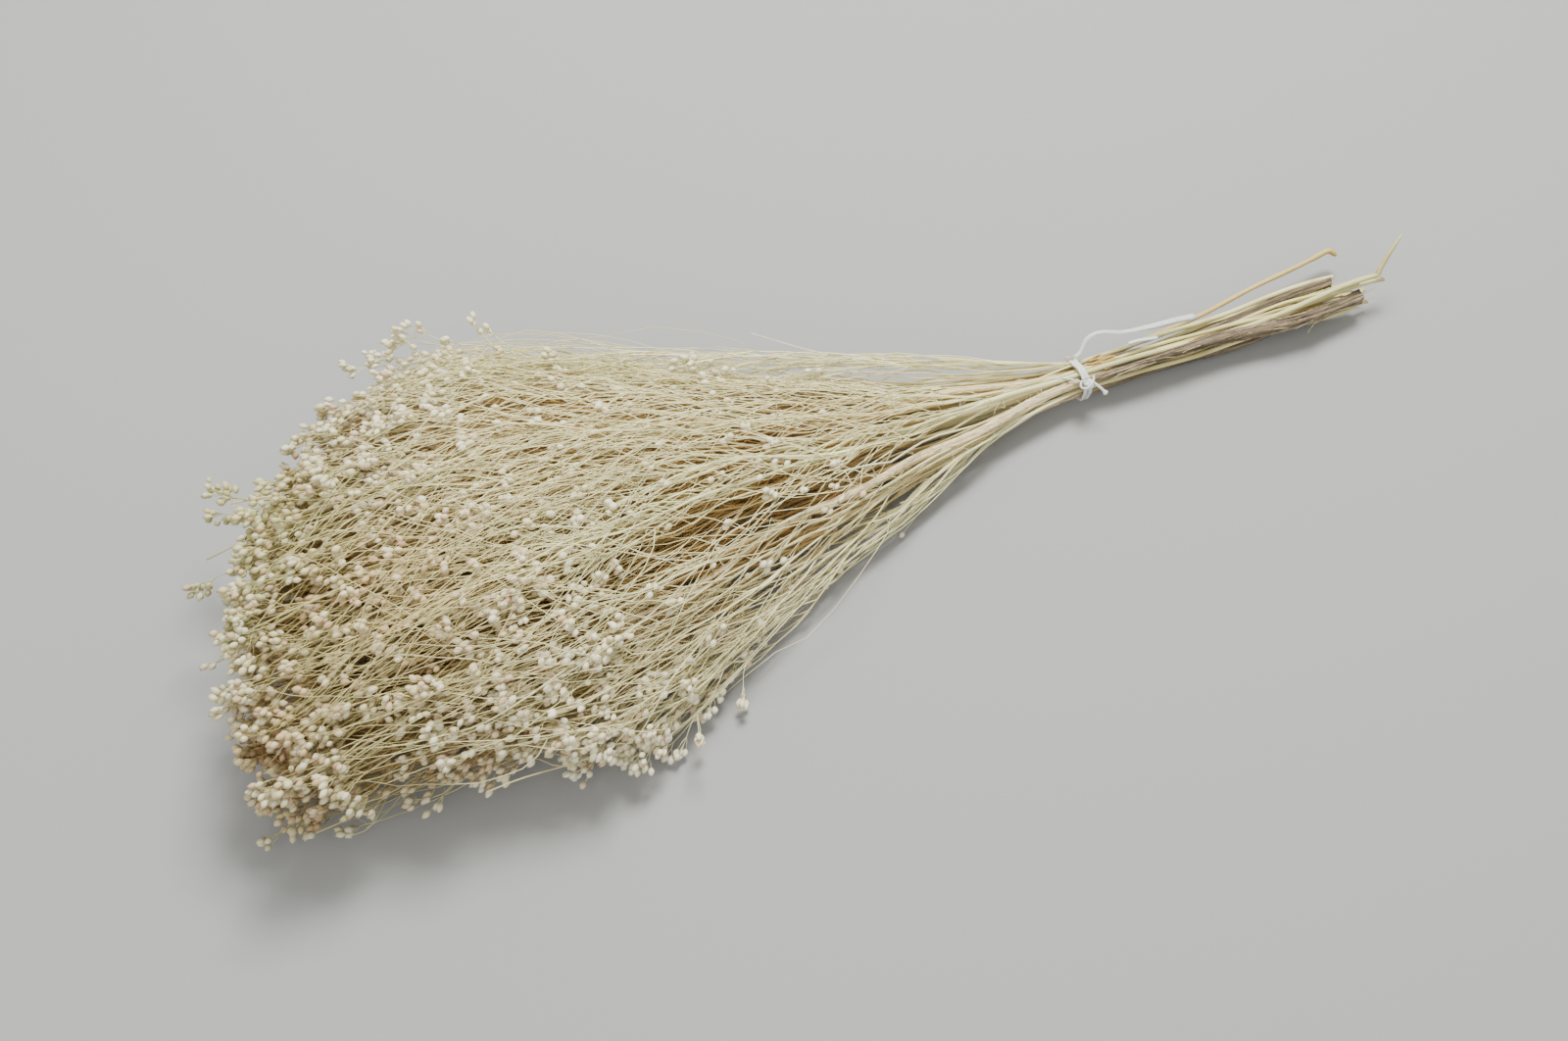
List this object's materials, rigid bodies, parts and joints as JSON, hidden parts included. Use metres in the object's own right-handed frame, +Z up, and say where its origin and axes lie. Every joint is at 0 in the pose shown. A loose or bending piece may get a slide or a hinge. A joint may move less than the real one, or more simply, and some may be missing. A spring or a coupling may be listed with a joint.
{
  "type": "dried broom bloom stem",
  "caption": "Tied bunch of dried, bleached broom bloom lying on its side: wiry stems fan out from a string tie into a mounded head of fine twigs tipped with small seed capsules.",
  "frame": {"origin": "on the surface that the bunch lies on, under the middle of its bounding box", "axes": "+X along the bunch towards the cut ends, the head towards -X; +Z up"},
  "size_m": [0.5774, 0.228, 0.0828],
  "materials": {
    "dry_stem": "matte, bleached and dried",
    "bark": "matte, weathered bark",
    "tie_string": "smooth, slightly translucent string"
  },
  "bodies": {
    "root": {"spray_01": "dry_stem", "spray_02": "dry_stem", "spray_03": "dry_stem", "woody_spray_04": "bark", "spray_05": "dry_stem", "spray_06": "dry_stem", "spray_07": "dry_stem", "woody_spray_08": "bark", "spray_09": "dry_stem", "spray_10": "dry_stem", "spray_11": "dry_stem", "spray_12": "dry_stem", "spray_13": "dry_stem", "spray_14": "dry_stem", "woody_spray_15": "bark", "spray_16": "dry_stem", "spray_17": "dry_stem", "spray_18": "dry_stem", "spray_19": "dry_stem", "spray_20": "dry_stem", "tie_wrap": "tie_string", "tie_tail": "tie_string"}
  },
  "joints": []
}
